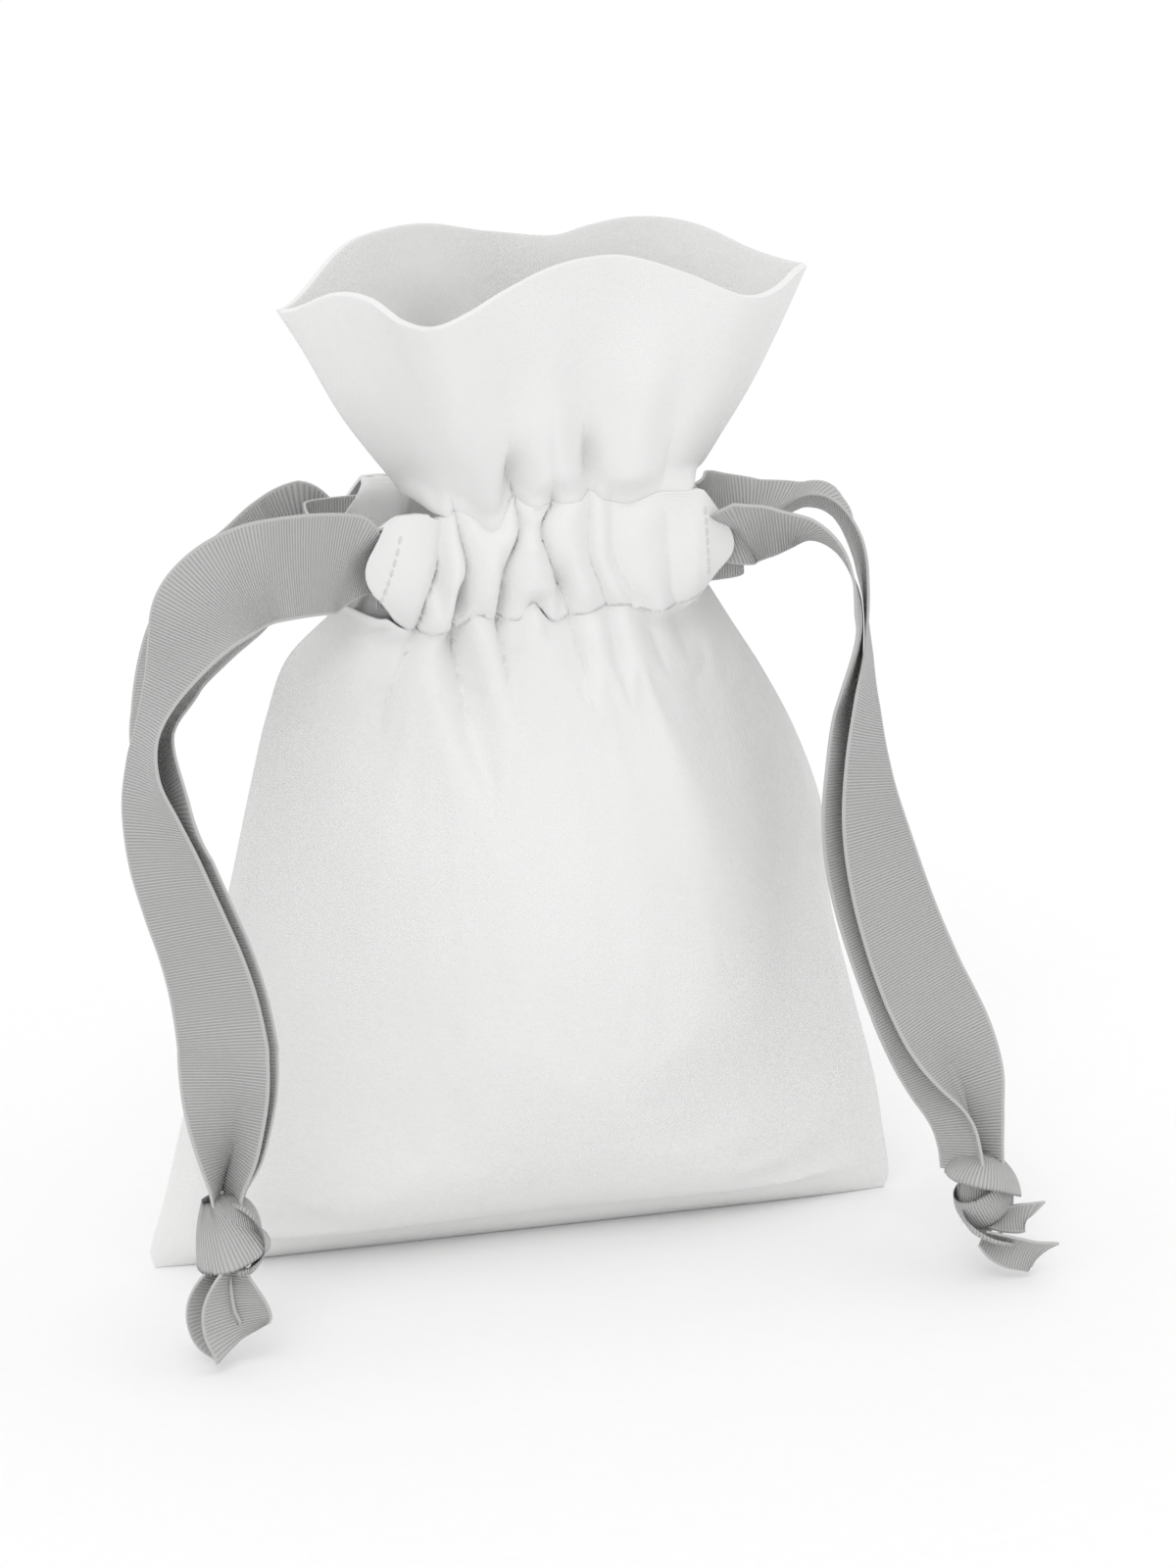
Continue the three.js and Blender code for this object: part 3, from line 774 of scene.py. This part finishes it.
def ribbon_strip(name, route, steps, material, width=RIBBON_WIDTH, cup=0.5, slant=0.0, pleat=1.0):
    """A ribbon along its route; it folds lengthwise where it is drawn together."""
    line = stations(route, steps)

    def place(u, v):
        middle, across, face, spread, length, ahead = line[round(u * steps)]
        a = 2 * v - 1
        half = width / 2
        folded = math.sqrt(max(0.0, 1 - spread * spread)) * ease(u * 5)
        rise = half * folded * (0.5 - abs(a)) * 0.8 * pleat
        point = middle + across * (a * half * spread) + face * (rise - cup * (a * a - 0.4))
        point += ahead * (slant * a * half * u ** 6)
        point += face * wrinkle(*middle, 22.0, 0.5)
        return point, (a * RIBBON_WIDTH / 2, length)

    bm = grid(steps, 12, place)
    piece = finished(bm, name, material)
    thicken(piece, RIBBON)
    return piece, [here[0] * MM for here in line]


WRAP_STEPS = 60


def wrap(name, bands, material, core):
    """A knot: a few turns of ribbon round a drawn-together core."""
    bm = bmesh.new()
    flat = bm.verts.layers.float_vector.new("cloth")
    middle, size = core
    matrix = Matrix.Translation(Vector(middle) * MM) @ Matrix.Diagonal((*(Vector(size) * MM), 1.0))
    made = bmesh.ops.create_uvsphere(bm, u_segments=40, v_segments=24, radius=0.5, matrix=matrix)
    for vert in made["verts"]:
        out = vert.co / MM - Vector(middle)
        angle = math.atan2(out.y, out.x)
        vert[flat] = Vector((0.0, angle * 5.0, 0.0))
    for route, width, cup in bands:
        line = stations(route, WRAP_STEPS, middle)
        start = set(bm.verts)
        bmesh.ops.create_grid(bm, x_segments=WRAP_STEPS, y_segments=10, size=0.5)
        fresh = [vert for vert in bm.verts if vert not in start]
        faces = {face for vert in fresh for face in vert.link_faces}
        for vert in fresh:
            spot, across, face, spread, length, _ = line[round((vert.co.x + 0.5) * WRAP_STEPS)]
            a = 2 * (vert.co.y + 0.5) - 1
            point = spot + across * (a * width / 2 * spread) - face * (cup * (a * a - 0.4))
            vert[flat] = Vector((a * width / 2, length, 0.0))
            vert.co = point * MM
        bmesh.ops.solidify(bm, geom=list(faces), thickness=WRAP * MM)
    return finished(bm, name, material)


# The drawn-together middle of each knot, as its place and size, and the turns round it: the points of each
# turn as in a route, its width and its cup.
LEFT_KNOT_CORE = ((-65.8, -44.3, 23.0), (10.6, 8.4, 14.4))
RIGHT_KNOT_CORE = ((72.2, -44.3, 15.0), (9.6, 8.4, 15.6))
LEFT_KNOT_BANDS = (
    # a wide turn round both plies
    (((-63.6, -41.8, 25.4, 0, 1), (-64.0, -46.2, 25.8, 0, 1), (-66.2, -48.4, 25.4, 0, 1),
      (-69.2, -48.4, 24.2, 0, 1), (-71.4, -46.0, 23.4, 0, 1), (-71.4, -42.4, 23.6, 0, 1),
      (-69.0, -40.2, 24.2, 0, 1), (-65.6, -39.8, 25.0, 0, 1)), 12.0, -0.5),
    # the loop that comes down over the right
    (((-65.4, -45.2, 29.0, -30, 0.7), (-63.4, -46.8, 27.6, -44, 0.9), (-62.0, -47.6, 24.4, -58, 1),
      (-61.8, -48.0, 20.8, -50, 1), (-63.2, -48.6, 18.0, -16, 1), (-65.8, -48.4, 17.0, 0, 0.8)), 4.6, -0.6),
)
RIGHT_KNOT_BANDS = (
    (((68.2, -42.0, 21.4, 0, 1), (68.2, -45.6, 21.4, 0, 1), (70.2, -48.2, 21.2, 0, 1),
      (73.6, -48.6, 20.2, 0, 1), (76.8, -47.0, 18.6, 0, 1), (77.8, -43.8, 17.6, 0, 1),
      (75.6, -40.8, 18.6, 0, 1), (71.6, -39.8, 20.2, 0, 1)), 6.6, -0.6),
    (((76.6, -46.6, 16.2, 0, 1), (73.8, -48.8, 14.8, 0, 1), (70.4, -49.0, 13.0, 0, 1),
      (68.0, -46.6, 12.0, 0, 1), (67.8, -43.4, 12.6, 0, 1), (70.0, -41.0, 14.2, 0, 1)), 6.0, -0.6),
    (((67.8, -45.8, 11.6, 0, 1), (69.0, -48.6, 9.8, 20, 1), (71.8, -49.8, 8.4, 35, 1),
      (75.2, -49.2, 7.4, 45, 0.9)), 5.2, -0.5),
)
# The cut ends: piece, ribbon, route, width, and how slanted the cut is.
TAILS = (
    ("left_front_tail", "left",
     ((-66.2, -47.6, 19.2, 0, 0.14), (-66.9, -48.8, 15.6, 6, 0.55), (-67.0, -49.8, 12.0, 8, 0.84),
      (-66.6, -50.4, 8.4, 6, 0.92), (-66.0, -50.6, 5.2, 2, 0.78)), 13.4, 0.34),
    ("left_back_tail", "left",
     ((-67.0, -45.6, 18.4, 20, 0.14), (-69.2, -46.4, 14.4, 26, 0.5), (-70.0, -47.0, 10.4, 28, 0.7),
      (-69.2, -47.4, 6.8, 22, 0.74), (-67.4, -47.6, 4.4, 12, 0.6)), 13.0, 0.1),
    ("right_front_tail", "right",
     ((70.6, -48.4, 8.0, 0, 0.5), (73.2, -49.4, 6.6, 6, 0.85), (76.2, -50.0, 5.4, 10, 1.0),
      (79.0, -50.2, 4.6, 12, 1.0), (81.2, -50.2, 4.2, 12, 1.0)), 6.6, -0.7),
    ("right_back_tail", "right",
     ((71.4, -45.8, 11.4, 0, 0.5), (74.0, -46.8, 10.8, -14, 0.8), (76.6, -47.2, 10.4, -22, 0.9),
      (78.6, -47.4, 10.4, -26, 0.9), (80.2, -47.4, 10.6, -28, 0.7)), 5.8, -1.0),
)


# ---------------------------------------------------------------- the scene

CAMERA_AZIMUTH = math.radians(-16.93)
CAMERA_ELEVATION = math.radians(18)
CAMERA_DISTANCE = 1.3
CAMERA_TARGET = (0.012, 0.0, 0.0834)
DAYLIGHT = 0.92
# Name, the direction that it comes from, its spread in degrees, its strength.
LIGHTS = (("key", (-0.4, -0.75, 1.0), 30, 0.45), ("top", (0.15, 0.1, 1.0), 60, 0.15))


def build_camera():
    """A long lens from the front left, looking a little down."""
    level = math.cos(CAMERA_ELEVATION)
    back = Vector((
        math.sin(CAMERA_AZIMUTH) * level, -math.cos(CAMERA_AZIMUTH) * level, math.sin(CAMERA_ELEVATION)))
    data = bpy.data.cameras.new("camera")
    data.lens = 167.06
    data.sensor_width = 36
    camera = bpy.data.objects.new("camera", data)
    camera.location = Vector(CAMERA_TARGET) + back * CAMERA_DISTANCE
    camera.rotation_euler = (-back).to_track_quat("-Z", "Y").to_euler()
    bpy.context.scene.collection.objects.link(camera)
    bpy.context.scene.camera = camera


def soft_light(name, towards, spread, strength):
    """A wide, even light that comes from a direction, spread in degrees."""
    data = bpy.data.lights.new(name, "SUN")
    data.angle = math.radians(spread)
    data.energy = strength
    light = bpy.data.objects.new(name, data)
    light.rotation_euler = (-Vector(towards)).to_track_quat("-Z", "Y").to_euler()
    light.location = Vector(towards)
    bpy.context.scene.collection.objects.link(light)


def build_stage():
    """A white paper floor under soft studio light."""
    bm = bmesh.new()
    bmesh.ops.create_grid(bm, x_segments=2, y_segments=2, size=3.0)
    mesh = bpy.data.meshes.new("floor")
    bm.to_mesh(mesh)
    bm.free()
    mesh.materials.append(floor_material())
    floor = bpy.data.objects.new("floor", mesh)
    bpy.context.scene.collection.objects.link(floor)
    world = bpy.data.worlds.new("studio")
    bpy.context.scene.world = world
    world.use_nodes = True
    background = world.node_tree.nodes["Background"]
    background.inputs["Color"].default_value = (1, 1, 1, 1)
    background.inputs["Strength"].default_value = DAYLIGHT
    for light in LIGHTS:
        soft_light(*light)
    bpy.context.scene.view_settings.view_transform = "Standard"


def build_cloth(cotton):
    """The body, the casing and the frill, front and back."""
    for name, side in SIDES:
        body = panel(side, f"{name}_body_cloth", cotton)
        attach(body, "pouch")
        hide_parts(f"{name}_panel")
        tube = casing(side, f"{name}_casing_cloth", cotton)
        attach(tube, "pouch")
        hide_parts(f"{name}_casing")
        top = frill(side, f"{name}_frill_cloth", cotton)
        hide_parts(f"{name}_heading")
        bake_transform(top)


def casing_rows(name, side, thread):
    """The two rows of stitches along the casing, which lie sunk in its gathers."""
    for level, w in (("lower", 0.012), ("upper", 0.988)):
        points = []
        for i in range(17):
            x = mix(-26.0, 26.0, (i + 0.5) / 17)
            points.append(Vector(casing_point(side, x, w)) - Vector((0, side * 0.9, 0)))
        row = stitches(f"{name}_{level}_stitches", points, thread, 1.8)
        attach(row, "pouch")
        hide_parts(f"{name}_casing_{level}_stitching")


def mouth_rows(name, side, thread):
    """The hem stitches beside each mouth of the casing, from an x and a share of its height to another."""
    ends = ("left", "right") if side == FRONT else ("right", "left")
    lines = (((-26.6, 0.86), (-30.4, 0.16)), ((29.0, 0.86), (29.8, 0.16)))
    for end_name, (start, finish) in zip(ends, lines):
        points = []
        for i in range(7):
            t = (i + 0.5) / 7
            x = mirrored(side, mix(start[0], finish[0], t))
            points.append(casing_point(side, x, mix(start[1], finish[1], t)))
        row = stitches(f"{name}_{end_name}_hem_stitches", points, thread, 1.5)
        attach(row, "pouch")
        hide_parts(f"{name}_{end_name}_mouth_stitching")


def build_stitches(thread):
    """Every row of stitches, on the casing and inside the side and bottom seams."""
    for name, side in SIDES:
        casing_rows(name, side, thread)
        mouth_rows(name, side, thread)
    for end_name, edge, inward in (("left", BODY_LEFT, 2.6), ("right", BODY_RIGHT, -2.6)):
        points = [(between(BODY_HEIGHTS, edge, z) + inward, 0.0, z) for z in range(4, 116, 3)]
        row = stitches(f"{end_name}_seam_stitches", points, thread)
        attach(row, "pouch")
        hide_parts(f"{end_name}_side_seam_stitching")
    row = stitches("bottom_seam_stitches", [(x, 0.0, 1.8) for x in range(-66, 67, 3)], thread)
    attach(row, "pouch")
    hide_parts("bottom_seam_stitching")


INSIDE_Y = 10.6  # where a ribbon lies inside the casing
FOLDED_WIDTH = 7.0


def in_casing(end, level):
    """The folded ribbon's route: in at its mouth, round the far side seam and out again."""
    turn = [(34.0 + 5.0 * math.sin(a), -INSIDE_Y * math.cos(a)) for a in (0.5, 1.05, 1.57, 2.09, 2.64)]
    half = [(x, -INSIDE_Y) for x in (-30.0, -15.0, 0.0, 15.0, 28.0)]
    outline = [*half, *turn, *((x, -y) for x, y in reversed(half))]
    return tuple((-end * x, y, level, 0, 1.0) for x, y in outline)


def build_ribbons(ribbon):
    """The knots, the four plies, the two folded stretches in the casing and the four cut ends."""
    left_knot = wrap("left_knot_wraps", LEFT_KNOT_BANDS, ribbon, LEFT_KNOT_CORE)
    right_knot = wrap("right_knot_wraps", RIGHT_KNOT_BANDS, ribbon, RIGHT_KNOT_CORE)
    for knot, end in ((left_knot, "left"), (right_knot, "right")):
        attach(knot, f"{end}_ribbon_end")
        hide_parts(f"{end}_knot")
    plies = (
        ("left_front", LEFT_FRONT, "left", left_knot, (-74.5, -31, 118), (-74.5, -31, 104)),
        ("left_back", LEFT_BACK, "left", left_knot, (-73.5, -24, 118), (-73.5, -24, 104)),
        ("right_front", RIGHT_FRONT, "right", right_knot, (57, -19, 121), (57, -19, 107)),
        ("right_back", RIGHT_BACK, "right", right_knot, (58, -14, 121), (58, -14, 107)),
    )
    for name, route, end, knot, start, finish in plies:
        piece, path = ribbon_strip(f"{name}_ribbon", route, 170, ribbon)
        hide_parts(f"{name}_ribbon_upper", f"{name}_ribbon_lower")
        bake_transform(piece)
        length = sum((b - a).length for a, b in zip(path, path[1:]))
    for end, side, level in (("left", -1, 126.2), ("right", 1, 134.0)):
        route = in_casing(side, level)
        piece, _ = ribbon_strip(f"{end}_ribbon_inside", route, 150, ribbon, FOLDED_WIDTH, 0.1)
        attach(piece, f"{end}_ribbon")
        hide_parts(f"{end}_ribbon_in_casing")
    for name, end, route, width, slant in TAILS:
        piece, _ = ribbon_strip(f"{name}_cut_end", route, 40, ribbon, width, 1.2, slant, 0.4)
        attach(piece, f"{end}_ribbon_end")
        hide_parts(name)


def main():
    cotton = cotton_material("white_cotton_weave", (0.82, 0.82, 0.815), (0.87, 0.87, 0.865))
    ribbon = grosgrain_material("grey_grosgrain", (0.42, 0.42, 0.415), (0.55, 0.55, 0.545))
    thread = thread_material("white_thread", (0.62, 0.62, 0.61), (0.8, 0.8, 0.79))
    build_camera()
    build_ribbons(ribbon)
    build_cloth(cotton)
    build_stitches(thread)
    build_stage()


main()
